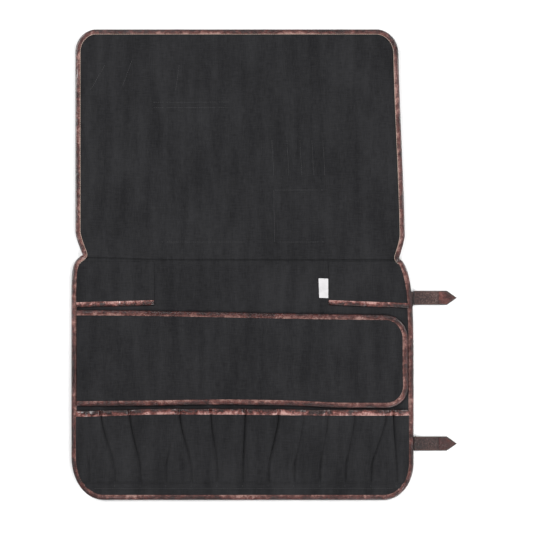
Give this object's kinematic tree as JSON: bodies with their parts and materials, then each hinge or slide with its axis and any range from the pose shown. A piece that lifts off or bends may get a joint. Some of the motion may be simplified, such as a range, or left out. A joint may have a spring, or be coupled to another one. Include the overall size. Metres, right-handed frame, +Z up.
{
  "type": "brush roll case",
  "caption": "Canvas roll-up brush case with leather edging, brush pockets, a loose tip cover, a fold-over flap and two magnetic strap tabs, lying open and flat.",
  "frame": {"origin": "under the middle of the open case's bounding box, on the surface it lies on", "axes": "+Z up out of the inner face, +Y from the brush pockets towards the flap's free edge, +X towards the strap tabs"},
  "size_m": [0.581, 0.706, 0.0108],
  "materials": {
    "canvas": "matt black cotton canvas, plain weave, a little brushed",
    "edging_leather": "thin oxblood leather, folded over the edge, glossy and mottled",
    "strap_leather": "dark brown strap leather with dark painted edges",
    "label_ribbon": "white woven satin ribbon, blank",
    "magnet_steel": "nickel-plated disc magnet, sewn in and out of sight"
  },
  "bodies": {
    "section_1": {"body_panel_1": "canvas", "body_edging_1": "edging_leather", "pockets_1": "canvas"},
    "section_2": {"body_panel_2": "canvas", "body_edging_2": "edging_leather", "pockets_2": "canvas", "catch_patches": "strap_leather", "catch_magnets": "magnet_steel"},
    "section_3": {"body_panel_3": "canvas", "body_edging_3": "edging_leather", "pockets_3": "canvas"},
    "section_4": {"body_panel_4": "canvas", "body_edging_4": "edging_leather", "pockets_4": "canvas"},
    "section_5": {"body_panel_5": "canvas", "body_edging_5": "edging_leather", "pockets_5": "canvas"},
    "section_6": {"body_panel_6": "canvas", "body_edging_6": "edging_leather", "pockets_6": "canvas", "size_label": "label_ribbon"},
    "section_7": {"body_panel_7": "canvas", "body_edging_7": "edging_leather", "pockets_7": "canvas", "strap_anchors": "strap_leather"},
    "flap_1": {"flap_panel_1": "canvas", "flap_edging_1": "edging_leather"},
    "flap_2": {"flap_panel_2": "canvas", "flap_edging_2": "edging_leather"},
    "flap_3": {"flap_panel_3": "canvas", "flap_edging_3": "edging_leather"},
    "flap_4": {"flap_panel_4": "canvas", "flap_edging_4": "edging_leather"},
    "flap_5": {"flap_panel_5": "canvas", "flap_edging_5": "edging_leather"},
    "flap_6": {"flap_panel_6": "canvas", "flap_edging_6": "edging_leather"},
    "flap_7": {"flap_panel_7": "canvas", "flap_edging_7": "edging_leather"},
    "cover_1": {"cover_panel_1": "canvas", "cover_edging_1": "edging_leather"},
    "cover_2": {"cover_panel_2": "canvas", "cover_edging_2": "edging_leather"},
    "cover_3": {"cover_panel_3": "canvas", "cover_edging_3": "edging_leather"},
    "cover_4": {"cover_panel_4": "canvas", "cover_edging_4": "edging_leather"},
    "cover_5": {"cover_panel_5": "canvas", "cover_edging_5": "edging_leather"},
    "cover_6": {"cover_panel_6": "canvas", "cover_edging_6": "edging_leather"},
    "cover_7": {"cover_panel_7": "canvas", "cover_edging_7": "edging_leather"},
    "tab_1": {"strap_tab_1": "strap_leather", "tip_facing_1": "edging_leather", "tab_magnet_1": "magnet_steel"},
    "tab_2": {"strap_tab_2": "strap_leather", "tip_facing_2": "edging_leather", "tab_magnet_2": "magnet_steel"}
  },
  "joints": [
    {"name": "roll_up", "type": "hinge", "parent": "section_7", "child": "section_6", "pos_m": [0.158, 0.01, 0.0056], "axis": [0, 1, 0], "range_deg": [0, 54]},
    {"name": "roll_5", "type": "hinge", "parent": "section_6", "child": "section_5", "pos_m": [0.0812, 0.01, 0.0056], "axis": [0, 1, 0], "range_deg": [0, 57]},
    {"name": "roll_4", "type": "hinge", "parent": "section_5", "child": "section_4", "pos_m": [0.0044, 0.01, 0.0056], "axis": [0, 1, 0], "range_deg": [0, 60]},
    {"name": "roll_3", "type": "hinge", "parent": "section_4", "child": "section_3", "pos_m": [-0.0724, 0.01, 0.0056], "axis": [0, 1, 0], "range_deg": [0, 63]},
    {"name": "roll_2", "type": "hinge", "parent": "section_3", "child": "section_2", "pos_m": [-0.1492, 0.01, 0.0056], "axis": [0, 1, 0], "range_deg": [0, 66]},
    {"name": "roll_1", "type": "hinge", "parent": "section_2", "child": "section_1", "pos_m": [-0.226, 0.01, 0.0056], "axis": [0, 1, 0], "range_deg": [0, 69]},
    {"name": "cover_swing", "type": "hinge", "parent": "section_1", "child": "cover_1", "pos_m": [-0.2813, -0.14, 0.0067], "axis": [0, 1, 0], "range_deg": [-179.95, 0]},
    {"name": "cover_roll_1", "type": "hinge", "parent": "cover_1", "child": "cover_2", "pos_m": [-0.226, -0.14, 0.0056], "axis": [0, -1, 0], "range_deg": [0, 69]},
    {"name": "cover_roll_2", "type": "hinge", "parent": "cover_2", "child": "cover_3", "pos_m": [-0.1492, -0.14, 0.0056], "axis": [0, -1, 0], "range_deg": [0, 66]},
    {"name": "cover_roll_3", "type": "hinge", "parent": "cover_3", "child": "cover_4", "pos_m": [-0.0724, -0.14, 0.0056], "axis": [0, -1, 0], "range_deg": [0, 63]},
    {"name": "cover_roll_4", "type": "hinge", "parent": "cover_4", "child": "cover_5", "pos_m": [0.0044, -0.14, 0.0056], "axis": [0, -1, 0], "range_deg": [0, 60]},
    {"name": "cover_roll_5", "type": "hinge", "parent": "cover_5", "child": "cover_6", "pos_m": [0.0812, -0.14, 0.0056], "axis": [0, -1, 0], "range_deg": [0, 57]},
    {"name": "cover_roll_6", "type": "hinge", "parent": "cover_6", "child": "cover_7", "pos_m": [0.158, -0.14, 0.0056], "axis": [0, -1, 0], "range_deg": [0, 54]},
    {"name": "flap_fold", "type": "hinge", "parent": "section_4", "child": "flap_4", "pos_m": [-0.034, 0.01, 0.0084], "axis": [1, 0, 0], "range_deg": [0, 179.95]},
    {"name": "flap_fold_1", "type": "hinge", "parent": "section_1", "child": "flap_1", "pos_m": [-0.25825, 0.01, 0.0084], "axis": [1, 0, 0], "range_deg": [0, 179.95]},
    {"name": "flap_fold_2", "type": "hinge", "parent": "section_2", "child": "flap_2", "pos_m": [-0.1876, 0.01, 0.0084], "axis": [1, 0, 0], "range_deg": [0, 179.95]},
    {"name": "flap_fold_3", "type": "hinge", "parent": "section_3", "child": "flap_3", "pos_m": [-0.1108, 0.01, 0.0084], "axis": [1, 0, 0], "range_deg": [0, 179.95]},
    {"name": "flap_fold_5", "type": "hinge", "parent": "section_5", "child": "flap_5", "pos_m": [0.0428, 0.01, 0.0084], "axis": [1, 0, 0], "range_deg": [0, 179.95]},
    {"name": "flap_fold_6", "type": "hinge", "parent": "section_6", "child": "flap_6", "pos_m": [0.1196, 0.01, 0.0084], "axis": [1, 0, 0], "range_deg": [0, 179.95]},
    {"name": "flap_fold_7", "type": "hinge", "parent": "section_7", "child": "flap_7", "pos_m": [0.19025, 0.01, 0.0084], "axis": [1, 0, 0], "range_deg": [0, 179.95]},
    {"name": "tab_1_bend", "type": "hinge", "parent": "section_7", "child": "tab_1", "pos_m": [0.2231, -0.052, 0.0026], "axis": [0, -1, 0], "range_deg": [0, 55]},
    {"name": "tab_2_bend", "type": "hinge", "parent": "section_7", "child": "tab_2", "pos_m": [0.2231, -0.271, 0.0026], "axis": [0, -1, 0], "range_deg": [0, 55]}
  ],
  "couplings": [
    {"joint": "roll_5", "follows": "roll_up", "ratio": 1.0556},
    {"joint": "roll_4", "follows": "roll_up", "ratio": 1.1111},
    {"joint": "roll_3", "follows": "roll_up", "ratio": 1.1667},
    {"joint": "roll_2", "follows": "roll_up", "ratio": 1.2222},
    {"joint": "roll_1", "follows": "roll_up", "ratio": 1.2778},
    {"joint": "cover_roll_1", "follows": "roll_up", "ratio": 1.2778},
    {"joint": "cover_roll_2", "follows": "roll_up", "ratio": 1.2222},
    {"joint": "cover_roll_3", "follows": "roll_up", "ratio": 1.1667},
    {"joint": "cover_roll_4", "follows": "roll_up", "ratio": 1.1111},
    {"joint": "cover_roll_5", "follows": "roll_up", "ratio": 1.0556},
    {"joint": "cover_roll_6", "follows": "roll_up", "ratio": 1},
    {"joint": "flap_fold_1", "follows": "flap_fold", "ratio": 1},
    {"joint": "flap_fold_2", "follows": "flap_fold", "ratio": 1},
    {"joint": "flap_fold_3", "follows": "flap_fold", "ratio": 1},
    {"joint": "flap_fold_5", "follows": "flap_fold", "ratio": 1},
    {"joint": "flap_fold_6", "follows": "flap_fold", "ratio": 1},
    {"joint": "flap_fold_7", "follows": "flap_fold", "ratio": 1}
  ]
}
